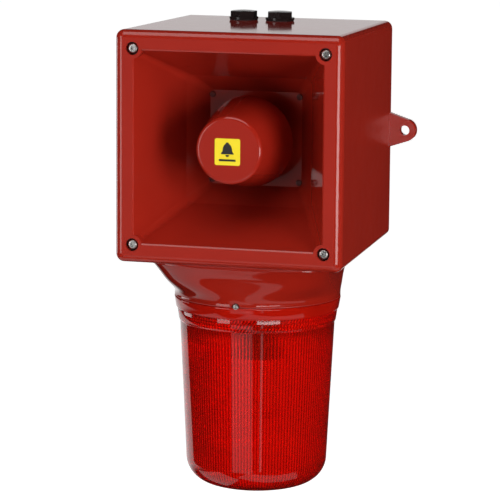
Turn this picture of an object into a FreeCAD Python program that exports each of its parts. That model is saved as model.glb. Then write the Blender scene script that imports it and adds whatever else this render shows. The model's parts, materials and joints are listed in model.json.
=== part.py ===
"""Wall-mounted alarm horn with a hanging strobe, in millimetres.

+X is the object's right seen from the front, -Y points out of the wall and +Z is up.
The origin lies on the wall, half-way between the two lug holes.
"""
import FreeCAD
import Part
import math
import os

# --- box -------------------------------------------------------------------
FRONT_HALF = 115.8        # half width and half height of the box at its front face
REAR_HALF = 113.0         # the same at the wall
DEPTH = 230.0             # wall to front face
CORNER_R = 8.2            # rounding of the four long edges
EDGE_R = 7.5              # rounding round the front face
WALL = 4.0
COVER_FRAME = 8.8         # thickness of the cover's front frame
SEAM = 0.2                # gap between the cover frame and the box rim
GASKET_W = 2.4
GASKET_T = 2.0

# --- wall lugs ---------------------------------------------------------------
LUG_X = 129.5
LUG_HOLE_R = 5.0
LUG_TIP_R = 11.8
LUG_ROOT_HALF = 18.0
LUG_T = 8.0

# --- cover screws --------------------------------------------------------------
SCREW_XZ = 97.5           # half spacing of the four cover screws
BOSS_R = 10.0
COUNTERBORE_R = 6.5
COUNTERBORE_DEPTH = 6.2
COVER_BOSS_END = -206.2
COVER_SCREW_R = 2.5
INSERT_R = 4.0
INSERT_L = 12.0

# --- horn ----------------------------------------------------------------------
MOUTH_HALF = 96.2
BEND_HALF = 65.0          # half size where the horn walls steepen
BEND_Y = -150.0
THROAT_WALL_HALF = 48.0   # half size of the horn's back wall
THROAT_WALL_Y = -122.0
HORN_T = 3.0
BACK_T = 4.0
FLANGE_HALF = 54.0
CUP_FRONT_Y = -225.0
CUP_FRONT_R = 33.2
CUP_EDGE_R = 3.5
CUP_REAR_Y = -150.0
CUP_REAR_R = 46.0
CUP_T = 2.5
TUBE_R = 20.0
TUBE_FRONT_Y = -203.0
LABEL_HALF_X = 12.9
LABEL_HALF_Z = 13.2
LABEL_T = 0.4

# --- compression driver, behind the horn's back wall ----------------------------
DRIVER_SCREW_X = 45.5
DRIVER_SCREW_Z = 43.5
PLATE_HALF = 52.0
PLATE_FRONT_Y = -115.0
PLATE_REAR_Y = -109.0
SKIRT_R = 47.5
SKIRT_IN_R = 38.0
TOP_PLATE_Y = -97.0
MAGNET_Y = -90.0
BACK_PLATE_Y = -72.0
DRIVER_REAR_Y = -65.0
TOP_PLATE_R = 46.0
MAGNET_R = 44.5
POLE_R = 23.6
GAP_R = 26.4
COIL_IN_R = 24.6
COIL_OUT_R = 25.4
DIAPHRAGM_R = 37.6
DIAPHRAGM_T = 0.6
DRIVER_CAN_R = 51.0
DRIVER_CAN_IN_R = 48.5
DRIVER_CAN_REAR_Y = -60.0
CAN_SCREWS = [(38 * math.cos(math.radians(a)), 38 * math.sin(math.radians(a)))
              for a in (90, 210, 330)]

# --- circuit board --------------------------------------------------------------
BOARD_REAR_Y = -16.0
BOARD_T = 1.6
BOARD_HALF_X = 80.0
BOARD_TOP_Z = 72.0
BOARD_BOTTOM_Z = -76.0
PILLAR_X = 72.0
PILLAR_Z = (62.0, -66.0)
SLIDER_PITCH = 2.54
SLIDER_COUNT = 5
SWITCH_X = 52.0
SWITCH_Z = 14.0
POT_X = 58.0
POT_Z = -14.0
HEADER_X = 58.0
HEADER_Z = -40.0

# --- cable entries --------------------------------------------------------------
PLUG_X = (-34.0, 4.6)
PLUG_Y = -47.5
PLUG_TURN_DEG = (0.0, 14.0)
PLUG_THREAD_R = 10.0
PLUG_FLANGE_R = 15.0
PLUG_FLAT_HALF = 12.3
PLUG_SEAT_GAP = 1.3       # seal thickness between the box's top and the plug flange

# --- adapter and lens -----------------------------------------------------------
LENS_Y = -110.0           # the lens axis
PAD_Z = -116.0            # underside of the flat pad under the box
ADAPTER_TOP_Z = -117.5
ADAPTER_MID_Z = -138.0
ADAPTER_ROUND_Z = -157.0
ADAPTER_BOTTOM_Z = -161.0
ADAPTER_T = 3.0
ADAPTER_TOP = (94.4, 98.8, 6.7)     # half width, reach to the front, squareness
ADAPTER_MID = (88.2, 89.6, 3.8)
ADAPTER_R = 85.3
ADAPTER_SCREWS = [(-62.0, -168.0), (62.0, -168.0), (-62.0, -62.0), (62.0, -62.0)]
GROMMET_Y = -70.0
GROMMET_R = 9.0
SPIGOT_R = 80.3
SPIGOT_IN_R = 78.2
SPIGOT_END_Z = -172.0
SEAL_SLEEVE_R = 80.9
LENS_TOP_Z = -162.05
COLLAR_R = 85.4
COLLAR_END_R = 84.0
COLLAR_END_Z = -174.0
BAND_R = 82.3
BAND_END_R = 80.6
BAND_END_Z = -187.0
BODY_R = 79.7
BODY_END_R = 72.7
BODY_END_Z = -330.7
LENS_CORNER_R = 27.4
LENS_BOTTOM_Z = -365.2
LENS_T = 2.6
LOCK_SCREW_ANGLES = (-90.0, 30.0, 150.0)
LOCK_Z = -161.5
HOLDER_R = 15.5
HOLDER_END_Z = -229.0
BASE_PLATE_TOP_Z = -161.2
BASE_PLATE_T = 3.0
BASE_PLATE_R = 78.0
BASE_SCREWS = [(70 * math.cos(math.radians(a)), LENS_Y + 70 * math.sin(math.radians(a)))
               for a in (-30, 90, 210)]
STROBE_BOARD_Z = -150.0
TUBE_LEG_X = 8.3
TUBE_GLASS_R = 3.2
TUBE_BEND_Z = -282.0

PARTS = "parts"
UP = FreeCAD.Vector(0, 0, 1)
BACK = FreeCAD.Vector(0, 1, 0)
CORNERS = [(-1, 1), (1, 1), (1, -1), (-1, -1)]


# --- helpers ---------------------------------------------------------------------
def vec(x, y, z):
    return FreeCAD.Vector(x, y, z)


def box(x0, x1, y0, y1, z0, z1):
    return Part.makeBox(x1 - x0, y1 - y0, z1 - z0, vec(x0, y0, z0))


def radial(angle_deg):
    """Horizontal unit vector at an angle from +X."""
    angle = math.radians(angle_deg)
    return vec(math.cos(angle), math.sin(angle), 0)


def rod_y(x, z, radius, y0, y1):
    """Cylinder along Y between y0 and y1."""
    return Part.makeCylinder(radius, y1 - y0, vec(x, y0, z), BACK)


def rod_z(x, y, radius, z0, z1):
    """Cylinder along Z between z0 and z1."""
    return Part.makeCylinder(radius, z1 - z0, vec(x, y, z0), UP)


def ring_y(x, z, outer, inner, y0, y1):
    return rod_y(x, z, outer, y0, y1).cut(rod_y(x, z, inner, y0 - 1, y1 + 1))


def ring_z(x, y, outer, inner, z0, z1):
    return rod_z(x, y, outer, z0, z1).cut(rod_z(x, y, inner, z0 - 1, z1 + 1))


def group(shapes):
    """Several separate solids kept side by side in one node."""
    return Part.makeCompound(list(shapes))


def fuse(shapes):
    shapes = list(shapes)
    return shapes[0].multiFuse(shapes[1:]).removeSplitter()


def cut(shape, tools):
    return shape.cut(Part.makeCompound(list(tools)))


def square_wire(y, half_x, half_z, radius):
    """Rounded rectangle in the plane at y, centred on the horn axis."""
    turn = radius * (1 - math.sqrt(0.5))
    edges = []
    for (sx, sz), (ex, ez) in zip(CORNERS, CORNERS[1:] + CORNERS[:1]):
        start = vec(sx * half_x, y, sz * (half_z - radius))
        through = vec(sx * (half_x - turn), y, sz * (half_z - turn))
        end = vec(sx * (half_x - radius), y, sz * half_z)
        if sx * sz > 0:
            start, end = end, start
        edges.append(Part.Arc(start, through, end).toShape())
        after = vec(ex * half_x, y, ez * (half_z - radius))
        if ex * ez > 0:
            after = vec(ex * (half_x - radius), y, ez * half_z)
        edges.append(Part.makeLine(end, after))
    return Part.Wire(edges)


def square_loft(sections):
    """Solid through rounded squares given as (y, half size, corner radius)."""
    wires = [square_wire(y, half, half, radius) for y, half, radius in sections]
    return Part.makeLoft(wires, True, True)


def square_prism(y0, y1, half, radius):
    return square_loft([(y0, half, radius), (y1, half, radius)])


def box_half(y):
    """Outer half size of the box at depth y."""
    return REAR_HALF + (FRONT_HALF - REAR_HALF) * -y / DEPTH


def profile_y(outline):
    """Revolve (radius, y) points about the horn axis."""
    nodes = [vec(radius, y, 0) for radius, y in outline]
    wire = Part.makePolygon(nodes + nodes[:1])
    return Part.Face(wire).revolve(vec(0, 0, 0), BACK, 360)


def four_corners(make):
    return group(make(sx, sz) for sx, sz in CORNERS)


def pan_screw_y(x, z, head_y, head_r, head_h, shank_r, length):
    """Pan-head screw with a six-lobed socket, entering towards +Y."""
    front_y = head_y - head_h
    head = rod_y(x, z, head_r, front_y, head_y)
    rims = [e for e in head.Edges if abs(e.BoundBox.YMax - front_y) < 1e-6 and len(e.Vertexes) == 1]
    head = head.makeFillet(head_h * 0.55, rims)
    shank = rod_y(x, z, shank_r, head_y, head_y + length)
    lobe_r = head_r * 0.12
    reach = head_r * 0.38
    lobes = [rod_y(x + reach * math.cos(math.radians(60 * step)),
                   z + reach * math.sin(math.radians(60 * step)),
                   lobe_r, front_y - 1, head_y - head_h * 0.45) for step in range(6)]
    socket = fuse([rod_y(x, z, reach, front_y - 1, head_y - head_h * 0.45)] + lobes)
    return head.fuse(shank).cut(socket).removeSplitter()


def hexagon_y(x, z, corner_r, y0, y1):
    nodes = []
    for step in range(6):
        angle = math.radians(60 * step)
        nodes.append(vec(x + corner_r * math.cos(angle), y0, z + corner_r * math.sin(angle)))
    face = Part.Face(Part.makePolygon(nodes + nodes[:1]))
    return face.extrude(vec(0, y1 - y0, 0))


def hexagon_z(x, y, half_flat, z0, z1, turn_deg=0.0):
    nodes = []
    corner_r = half_flat / math.cos(math.radians(30))
    for step in range(6):
        angle = math.radians(60 * step + turn_deg - 90)
        nodes.append(vec(x + corner_r * math.cos(angle), y + corner_r * math.sin(angle), z0))
    face = Part.Face(Part.makePolygon(nodes + nodes[:1]))
    return face.extrude(vec(0, 0, z1 - z0))


def rounded_path(points, radius_factor=0.45):
    """Straight runs joined by tangent arcs, as one wire."""
    points = [vec(*p) for p in points]
    edges = []
    here = points[0]
    for before, corner, after in zip(points, points[1:], points[2:]):
        into = (corner - before).normalize()
        out = (after - corner).normalize()
        half_turn = into.getAngle(out) / 2
        reach = radius_factor * min((corner - before).Length, (after - corner).Length)
        first = corner - into * reach
        last = corner + out * reach
        radius = reach / math.tan(half_turn)
        inward = (out - into).normalize()
        middle = corner + inward * (radius / math.cos(half_turn) - radius)
        edges.append(Part.makeLine(here, first))
        edges.append(Part.Arc(first, middle, last).toShape())
        here = last
    edges.append(Part.makeLine(here, points[-1]))
    return Part.Wire(edges)


def lead(points, radius):
    path = rounded_path(points)
    start = path.Vertexes[0].Point
    direction = (vec(*points[1]) - vec(*points[0])).normalize()
    section = Part.Wire([Part.makeCircle(radius, start, direction)])
    return path.makePipeShell([section], True, False)


# --- box and cover ---------------------------------------------------------------
def rear_housing():
    rim_y = COVER_FRAME - DEPTH
    outer = square_loft([(rim_y, box_half(rim_y), CORNER_R), (0, REAR_HALF, CORNER_R)])
    inner = square_loft([(rim_y - 1, box_half(rim_y - 1) - WALL, CORNER_R - WALL),
                         (-WALL, box_half(-WALL) - WALL, CORNER_R - WALL)])
    shell = outer.cut(inner)
    lugs = [lug(side) for side in (-1, 1)]
    pad = outline_prism(PAD_Z, PAD_Z + 6, 0.0)
    pad = pad.cut(square_loft([(-DEPTH, box_half(-DEPTH) - WALL, CORNER_R - WALL),
                               (-WALL, box_half(-WALL) - WALL, CORNER_R - WALL)]))
    bosses = [rod_y(sx * SCREW_XZ, sz * SCREW_XZ, 8.0, COVER_BOSS_END + SEAM, -WALL + 1)
              for sx, sz in CORNERS]
    webs = [boss_web(sx, sz) for sx, sz in CORNERS]
    body = fuse([shell, pad] + lugs + bosses + webs)
    insert_y = COVER_BOSS_END + SEAM
    tools = [rod_y(sx * SCREW_XZ, sz * SCREW_XZ, INSERT_R + 0.05, insert_y - 1, insert_y + INSERT_L)
             for sx, sz in CORNERS]
    tools += [rod_y(sx * SCREW_XZ, sz * SCREW_XZ, COVER_SCREW_R + 0.5, insert_y, insert_y + 30)
              for sx, sz in CORNERS]
    tools += [rod_y(side * LUG_X, 0, LUG_HOLE_R, -LUG_T - 1, 1) for side in (-1, 1)]
    tools += [rod_z(x, PLUG_Y, PLUG_THREAD_R + 0.25, 100, 125) for x in PLUG_X]
    tools += [rod_z(x, y, 2.2, -125, -100) for x, y in ADAPTER_SCREWS]
    tools.append(rod_z(0, GROMMET_Y, GROMMET_R, -125, -100))
    tools.append(gasket_rebate())
    return cut(body, tools)


def lug(side):
    """Tapered fixing ear with a round tip, flush with the wall."""
    centre = vec(side * LUG_X, -LUG_T, 0)
    root_x = side * (REAR_HALF - 3)
    lean = math.atan2(LUG_ROOT_HALF - LUG_TIP_R, LUG_X - REAR_HALF)
    top = centre + vec(side * LUG_TIP_R * math.sin(lean), 0, LUG_TIP_R * math.cos(lean))
    bottom = vec(top.x, top.y, -top.z)
    tip = centre + vec(side * LUG_TIP_R, 0, 0)
    root_top = vec(root_x, -LUG_T, LUG_ROOT_HALF + 1)
    root_bottom = vec(root_x, -LUG_T, -LUG_ROOT_HALF - 1)
    outline = Part.Wire([Part.makeLine(root_top, top),
                         Part.Arc(top, tip, bottom).toShape(),
                         Part.makeLine(bottom, root_bottom),
                         Part.makeLine(root_bottom, root_top)])
    ear = Part.Face(outline).extrude(vec(0, LUG_T, 0))
    front_arc = [e for e in ear.Edges
                 if abs(e.BoundBox.YMax + LUG_T) < 1e-6 and side * e.CenterOfMass.x > REAR_HALF]
    return ear.makeFillet(1.0, front_arc)


def boss_web(sx, sz):
    """Corner rib that joins a screw boss to the side wall."""
    x0, x1 = sorted((sx * SCREW_XZ, sx * (REAR_HALF - 2)))
    return box(x0, x1, COVER_BOSS_END + 2, -WALL + 1, sz * SCREW_XZ - 2, sz * SCREW_XZ + 2)


def gasket_rebate():
    rim_y = COVER_FRAME - DEPTH
    opening = box_half(rim_y) - WALL
    deep = square_prism(rim_y - 1, rim_y + GASKET_T, opening + GASKET_W, CORNER_R - 2)
    return deep.cut(square_prism(rim_y - 2, rim_y + GASKET_T + 1, opening - 3, 3.0))


def cover_gasket():
    rim_y = COVER_FRAME - DEPTH
    opening = box_half(rim_y) - WALL
    outer = square_prism(rim_y, rim_y + GASKET_T, opening + GASKET_W - 0.2, CORNER_R - 2)
    return outer.cut(square_prism(rim_y - 1, rim_y + GASKET_T + 1, opening + 0.1, CORNER_R - 4))


def horn_cover():
    rear_y = COVER_FRAME - SEAM - DEPTH
    frame = square_loft([(-DEPTH, FRONT_HALF, CORNER_R), (rear_y, box_half(rear_y), CORNER_R)])
    front_edges = [e for e in frame.Edges if abs(e.BoundBox.YMax + DEPTH) < 1e-6]
    frame = frame.makeFillet(EDGE_R, front_edges)
    skirt_half = box_half(rear_y) - WALL - 0.5
    skirt = square_prism(rear_y - 1, rear_y + 7, skirt_half, CORNER_R - WALL)
    skirt = skirt.cut(square_prism(rear_y - 2, rear_y + 8, skirt_half - 2.5, 3.0))
    horn = square_loft([(rear_y, horn_half(rear_y) + HORN_T, 7.0),
                        (BEND_Y, BEND_HALF + HORN_T, 11.0)])
    throat = square_loft([(BEND_Y, BEND_HALF + HORN_T, 11.0),
                          (THROAT_WALL_Y, THROAT_WALL_HALF + HORN_T, 8.0)])
    flange = square_prism(THROAT_WALL_Y, THROAT_WALL_Y + BACK_T, FLANGE_HALF, 10.0)
    body = fuse([frame, horn, throat, flange])
    mouth = square_loft([(-DEPTH - 1, horn_half(-DEPTH - 1), 4.0), (BEND_Y, BEND_HALF, 8.0)])
    back = square_loft([(BEND_Y, BEND_HALF, 8.0), (THROAT_WALL_Y, THROAT_WALL_HALF, 5.0)])
    lip = square_loft([(-DEPTH - 1, MOUTH_HALF + 2.4, 6.0), (-DEPTH + 1.4, MOUTH_HALF - 1.0, 4.0)])
    body = cut(body, [mouth, back, lip])
    bosses = [rod_y(sx * SCREW_XZ, sz * SCREW_XZ, BOSS_R, -DEPTH, COVER_BOSS_END)
              for sx, sz in CORNERS]
    body = fuse([body, skirt] + bosses)
    tools = [rod_y(sx * SCREW_XZ, sz * SCREW_XZ, COUNTERBORE_R, -DEPTH - 1, -DEPTH + COUNTERBORE_DEPTH)
             for sx, sz in CORNERS]
    tools += [rod_y(sx * SCREW_XZ, sz * SCREW_XZ, COVER_SCREW_R + 0.3, -DEPTH, COVER_BOSS_END + 1)
              for sx, sz in CORNERS]
    tools += [rod_y(sx * DRIVER_SCREW_X, sz * DRIVER_SCREW_Z, 2.15, THROAT_WALL_Y - 1, -110)
              for sx, sz in CORNERS]
    tools += [rod_y(sx * DRIVER_SCREW_X, sz * DRIVER_SCREW_Z, 3.5, THROAT_WALL_Y - 8, THROAT_WALL_Y)
              for sx, sz in CORNERS]
    tools.append(rod_y(0, 0, TUBE_R + 0.1, THROAT_WALL_Y - 1, -110))
    return cut(body, tools)


def horn_half(y):
    """Inner half size of the horn between its mouth and the bend."""
    return BEND_HALF + (MOUTH_HALF - BEND_HALF) * (BEND_Y - y) / (BEND_Y + DEPTH)


def cover_screws():
    seat = -DEPTH + COUNTERBORE_DEPTH - 1.05
    return four_corners(lambda sx, sz: pan_screw_y(sx * SCREW_XZ, sz * SCREW_XZ, seat, 4.9, 3.6,
                                                   COVER_SCREW_R, 30.0))


def screw_seals():
    seat = -DEPTH + COUNTERBORE_DEPTH
    return four_corners(lambda sx, sz: ring_y(sx * SCREW_XZ, sz * SCREW_XZ, 6.2,
                                              COVER_SCREW_R + 0.1, seat - 1.0, seat))


def screw_inserts():
    front = COVER_BOSS_END + SEAM
    return four_corners(lambda sx, sz: ring_y(sx * SCREW_XZ, sz * SCREW_XZ, INSERT_R,
                                              COVER_SCREW_R + 0.05, front, front + INSERT_L - 0.1))


# --- horn centre -------------------------------------------------------------------
def cup_half_outline(shrink):
    slope = (CUP_REAR_R - CUP_FRONT_R) / (CUP_REAR_Y - CUP_FRONT_Y)
    front_y = CUP_FRONT_Y + shrink
    front_r = CUP_FRONT_R + slope * shrink - shrink
    return front_y, front_r


def reflector_cup():
    """Closed-front cup with four webs that carry it on the throat tube."""
    in_y, in_r = cup_half_outline(CUP_T)
    outer = profile_y([(0, CUP_FRONT_Y), (CUP_FRONT_R, CUP_FRONT_Y), (CUP_REAR_R, CUP_REAR_Y),
                       (0, CUP_REAR_Y)])
    rim = [e for e in outer.Edges if abs(e.BoundBox.YMax - CUP_FRONT_Y) < 1e-6]
    outer = outer.makeFillet(CUP_EDGE_R, [e for e in rim if e.Length > 10])
    inner = profile_y([(0, in_y), (in_r, in_y), (CUP_REAR_R - CUP_T, CUP_REAR_Y + 0.1),
                       (0, CUP_REAR_Y + 0.1)])
    shell = outer.cut(inner)
    sleeve = ring_y(0, 0, TUBE_R + 2.6, TUBE_R + 0.1, -190, CUP_REAR_Y)
    webs = []
    for angle in (45, 135, 225, 315):
        web = box(TUBE_R + 1, CUP_REAR_R - 1.0, -190, CUP_REAR_Y, -1.25, 1.25)
        web.rotate(vec(0, 0, 0), BACK, angle)
        webs.append(web.common(outer))
    return fuse([shell, sleeve] + webs)


def throat_tube():
    """Sound tube from the driver to the inside of the cup, flanged behind the horn."""
    flange_r = 34.0
    rear_y = PLATE_FRONT_Y
    flange_y = THROAT_WALL_Y + BACK_T
    outer = profile_y([(0, TUBE_FRONT_Y), (TUBE_R, TUBE_FRONT_Y), (TUBE_R, flange_y),
                       (flange_r, flange_y), (flange_r, rear_y), (0, rear_y)])
    bore = profile_y([(0, TUBE_FRONT_Y - 1), (TUBE_R - 1.8, TUBE_FRONT_Y - 1), (12.0, rear_y + 1),
                      (0, rear_y + 1)])
    return outer.cut(bore)


def label_plate():
    wire = square_wire(0, LABEL_HALF_X, LABEL_HALF_Z, 2.0)
    plate = Part.Face(wire).extrude(vec(0, LABEL_T, 0))
    plate.translate(vec(-1.1, CUP_FRONT_Y - LABEL_T, -1.4))
    return plate


def flange_screws():
    return four_corners(lambda sx, sz: pan_screw_y(sx * DRIVER_SCREW_X, sz * DRIVER_SCREW_Z,
                                                   THROAT_WALL_Y, 3.2, 2.4, 2.0, 12.5))


# --- compression driver --------------------------------------------------------------
def driver_gasket():
    front = THROAT_WALL_Y + BACK_T
    sheet = square_prism(front, PLATE_FRONT_Y, PLATE_HALF, 8.0)
    holes = [rod_y(sx * DRIVER_SCREW_X, sz * DRIVER_SCREW_Z, 2.2, front - 1, PLATE_FRONT_Y + 1)
             for sx, sz in CORNERS]
    return cut(sheet, holes + [rod_y(0, 0, 34.2, front - 1, PLATE_FRONT_Y + 1)])


def driver_mounting_plate():
    plate = square_prism(PLATE_FRONT_Y, PLATE_REAR_Y, PLATE_HALF, 8.0)
    skirt = ring_y(0, 0, SKIRT_R, SKIRT_IN_R, PLATE_REAR_Y - 1, TOP_PLATE_Y)
    tools = [rod_y(sx * DRIVER_SCREW_X, sz * DRIVER_SCREW_Z, 2.05, PLATE_FRONT_Y - 1, PLATE_REAR_Y + 1)
             for sx, sz in CORNERS]
    tools.append(rod_y(0, 0, 26.1, PLATE_FRONT_Y + 2.5, PLATE_REAR_Y + 1))
    tools.append(rod_y(0, 0, 12.0, PLATE_FRONT_Y - 1, PLATE_REAR_Y))
    return cut(fuse([plate, skirt]), tools)


def phase_plug():
    """Central bullet held by three spokes in a thin ring, set in the mounting plate."""
    front = PLATE_FRONT_Y + 2.5
    rear = PLATE_REAR_Y + 4.0
    hoop = ring_y(0, 0, 26.0, 22.5, front, PLATE_REAR_Y)
    bullet = profile_y([(0, front - 1.5), (3.0, front - 1.5), (17.0, PLATE_REAR_Y), (17.0, rear),
                        (0, rear)])
    spokes = []
    for angle in (90, 210, 330):
        spoke = box(8.0, 23.5, PLATE_REAR_Y - 2.0, PLATE_REAR_Y, -1.5, 1.5)
        spoke.rotate(vec(0, 0, 0), BACK, angle)
        spokes.append(spoke)
    return fuse([hoop, bullet] + spokes)


def diaphragm():
    """Flat annular surround with a shallow dome that bulges to the rear."""
    front = TOP_PLATE_Y - 6.0
    dome_r = COIL_OUT_R
    outer = profile_y([(0, front), (DIAPHRAGM_R, front), (DIAPHRAGM_R, front + DIAPHRAGM_T),
                       (dome_r, front + DIAPHRAGM_T), (12.0, front + 4.0), (0, front + 5.0)])
    hollow = profile_y([(0, front - 1), (dome_r - 1.5, front - 1), (dome_r - 1.5, front + 0.01),
                        (11.6, front + 3.3), (0, front + 4.3)])
    return outer.cut(hollow)


def voice_coil():
    return ring_y(0, 0, COIL_OUT_R, COIL_IN_R, TOP_PLATE_Y - 5.1, MAGNET_Y + 1.0)


def top_plate():
    return ring_y(0, 0, TOP_PLATE_R, GAP_R, TOP_PLATE_Y, MAGNET_Y)


def driver_magnet():
    return ring_y(0, 0, MAGNET_R, GAP_R + 4, MAGNET_Y, BACK_PLATE_Y)


def pole_piece():
    plate = rod_y(0, 0, TOP_PLATE_R, BACK_PLATE_Y, DRIVER_REAR_Y)
    pole = rod_y(0, 0, POLE_R, TOP_PLATE_Y + 0.5, BACK_PLATE_Y + 1)
    holes = [rod_y(x, z, 1.45, DRIVER_REAR_Y - 5, DRIVER_REAR_Y + 1) for x, z in CAN_SCREWS]
    return cut(fuse([plate, pole]), holes)


def driver_rear_cover():
    can = rod_y(0, 0, DRIVER_CAN_R, PLATE_REAR_Y, DRIVER_CAN_REAR_Y)
    rear_edge = [e for e in can.Edges if abs(e.BoundBox.YMin - DRIVER_CAN_REAR_Y) < 1e-6]
    can = can.makeFillet(4.0, [e for e in rear_edge if len(e.Vertexes) == 1])
    tools = [rod_y(0, 0, DRIVER_CAN_IN_R, PLATE_REAR_Y - 1, DRIVER_REAR_Y)]
    tools += [rod_y(x, z, 1.8, DRIVER_REAR_Y - 1, DRIVER_CAN_REAR_Y + 1) for x, z in CAN_SCREWS]
    return cut(can, tools)


def driver_rear_screws():
    """Three screws from behind through the can into the pole piece."""
    screws = []
    for x, z in CAN_SCREWS:
        head = rod_y(x, z, 2.8, DRIVER_CAN_REAR_Y, DRIVER_CAN_REAR_Y + 2.0)
        slot = box(x - 3, x + 3, DRIVER_CAN_REAR_Y + 1.0, DRIVER_CAN_REAR_Y + 3.0, z - 0.4, z + 0.4)
        shank = rod_y(x, z, 1.4, DRIVER_REAR_Y - 4.5, DRIVER_CAN_REAR_Y)
        screws.append(head.fuse(shank).cut(slot))
    return group(screws)


def driver_terminals():
    """Insulating block with two solder tags on the back of the driver."""
    rear = DRIVER_CAN_REAR_Y
    block = box(-9, 9, rear, rear + 4, -5, 5)
    tags = [box(x - 1.2, x + 1.2, rear + 4, rear + 8, -0.4, 0.4) for x in (-5, 5)]
    return group([block] + tags)


def driver_leads():
    """Two insulated leads from the driver's tags to the board plug."""
    runs = []
    for side in (-1, 1):
        x = 5 * side
        end_x = HEADER_X + 2.5 * side
        runs.append(lead([(x, DRIVER_CAN_REAR_Y + 6, -1.5), (x + 3, DRIVER_CAN_REAR_Y + 7, -12),
                          (x + 14, DRIVER_CAN_REAR_Y + 8, -26),
                          (end_x - 12, -47, HEADER_Z - 1.5 * side), (end_x, -44, HEADER_Z),
                          (end_x, -37, HEADER_Z)], 0.9))
    return group(runs)


def driver_plug():
    """Two-way plug pushed onto the board header from the front."""
    body = box(HEADER_X - 6, HEADER_X + 6, -37, -29.6, HEADER_Z - 3.5, HEADER_Z + 3.5)
    sockets = [rod_y(HEADER_X + 2.5 * side, HEADER_Z, 0.6, -35, -28) for side in (-1, 1)]
    return cut(body, sockets)


# --- circuit board and what is on it ----------------------------------------------------
def board_front():
    return BOARD_REAR_Y - BOARD_T


def main_board():
    board = box(-BOARD_HALF_X, BOARD_HALF_X, board_front(), BOARD_REAR_Y, BOARD_BOTTOM_Z, BOARD_TOP_Z)
    holes = [rod_y(sx * PILLAR_X, z, 1.8, board_front() - 1, BOARD_REAR_Y + 1)
             for sx in (-1, 1) for z in PILLAR_Z]
    return cut(board, holes)


def board_pillars():
    pillars = []
    for sx in (-1, 1):
        for z in PILLAR_Z:
            hexagon = hexagon_y(sx * PILLAR_X, z, 3.6, BOARD_REAR_Y, -WALL)
            pillars.append(hexagon.cut(rod_y(sx * PILLAR_X, z, 1.55, BOARD_REAR_Y - 1, -8)))
    return group(pillars)


def board_screws():
    return group(pan_screw_y(sx * PILLAR_X, z, board_front(), 2.8, 2.0, 1.5, 8.0)
                 for sx in (-1, 1) for z in PILLAR_Z)


def terminal_positions():
    return [-44 + 8 * step for step in range(10)]


def terminal_block():
    front = board_front() - 15
    block = box(-48, 32, front, board_front(), 44, 58)
    cells = []
    for x in terminal_positions():
        cells.append(rod_y(x, 50, 2.3, front - 1, front + 7))
        cells.append(box(x - 2.4, x + 2.4, front + 7.5, front + 12.5, 53, 59))
    return cut(block, cells)


def terminal_screws():
    front = board_front() - 15
    screws = []
    for x in terminal_positions():
        screw = rod_y(x, 50, 2.1, front + 1.5, front + 6.5)
        screws.append(screw.cut(box(x - 3, x + 3, front, front + 2.5, 49.6, 50.4)))
    return group(screws)


def slider_x(index):
    return SWITCH_X + SLIDER_PITCH * (index - (SLIDER_COUNT - 1) / 2)


def tone_switch_body():
    half = SLIDER_PITCH * SLIDER_COUNT / 2 + 0.8
    front = board_front() - 6
    body = box(SWITCH_X - half, SWITCH_X + half, front, board_front(), SWITCH_Z - 4.9, SWITCH_Z + 4.9)
    slots = [box(slider_x(i) - 0.65, slider_x(i) + 0.65, front - 1, front + 2.4,
                 SWITCH_Z - 2.1, SWITCH_Z + 2.1) for i in range(SLIDER_COUNT)]
    return cut(body, slots)


def tone_slider(index):
    """One rocker of the tone switch, resting in its lower position."""
    front = board_front() - 6
    x = slider_x(index)
    foot = box(x - 0.6, x + 0.6, front + 1.2, front + 2.35, SWITCH_Z - 2.05, SWITCH_Z + 0.75)
    nib = box(x - 0.6, x + 0.6, front - 0.7, front + 1.3, SWITCH_Z - 1.5, SWITCH_Z + 0.2)
    return fuse([foot, nib])


def volume_body():
    front = board_front() - 7
    body = box(POT_X - 5, POT_X + 5, front, board_front(), POT_Z - 5, POT_Z + 5)
    return body.cut(rod_y(POT_X, POT_Z, 3.55, front - 1, front + 4))


def volume_rotor():
    front = board_front() - 7
    rotor = rod_y(POT_X, POT_Z, 3.5, front - 0.8, front + 3.9)
    slot = box(POT_X - 0.5, POT_X + 0.5, front - 2, front + 0.6, POT_Z - 2.8, POT_Z + 2.8)
    arrow = box(POT_X - 1.4, POT_X + 1.4, front - 2, front + 0.2, POT_Z + 1.2, POT_Z + 2.0)
    return cut(rotor, [slot, arrow])


def board_header():
    """Base of the two-way header with its pins."""
    front = board_front()
    base = box(HEADER_X - 6, HEADER_X + 6, front - 11.9, front, HEADER_Z - 3.5, HEADER_Z + 3.5)
    pins = [rod_y(HEADER_X + 2.5 * side, HEADER_Z, 0.5, -34, front - 11) for side in (-1, 1)]
    return fuse([base] + pins)


def supply_transformer():
    """Laminated core with its winding standing out in front, on a moulded base."""
    front = board_front()
    x, z = -52, -44
    core = box(x - 18, x + 18, front - 22, front - 2, z - 15, z + 15)
    base = box(x - 18, x + 18, front - 2, front, z - 15, z + 15)
    coil = box(x - 12.8, x + 12.8, front - 25, front - 2.2, z - 8.8, z + 8.8)
    return fuse([core, base, coil])


def board_capacitors():
    front = board_front()
    cans = []
    for x, z, radius in ((10, -56, 8.0), (-20, -58, 8.0), (34, -62, 6.3)):
        can = rod_y(x, z, radius, front - 24, front)
        top = [e for e in can.Edges if abs(e.BoundBox.YMax - (front - 24)) < 1e-6]
        cans.append(can.makeFillet(1.0, [e for e in top if len(e.Vertexes) == 1]))
    return group(cans)


def heat_sink():
    front = board_front()
    base = box(-74, -71, front - 24, front, -12, 34)
    fins = [box(-74, -60, front - 24, front, z, z + 1.5) for z in range(-12, 34, 6)]
    return fuse([base] + fins)


# --- cable entries --------------------------------------------------------------------
def plug_seat():
    """Height of the underside of the plug flanges."""
    return box_half(PLUG_Y) + PLUG_SEAT_GAP


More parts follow.
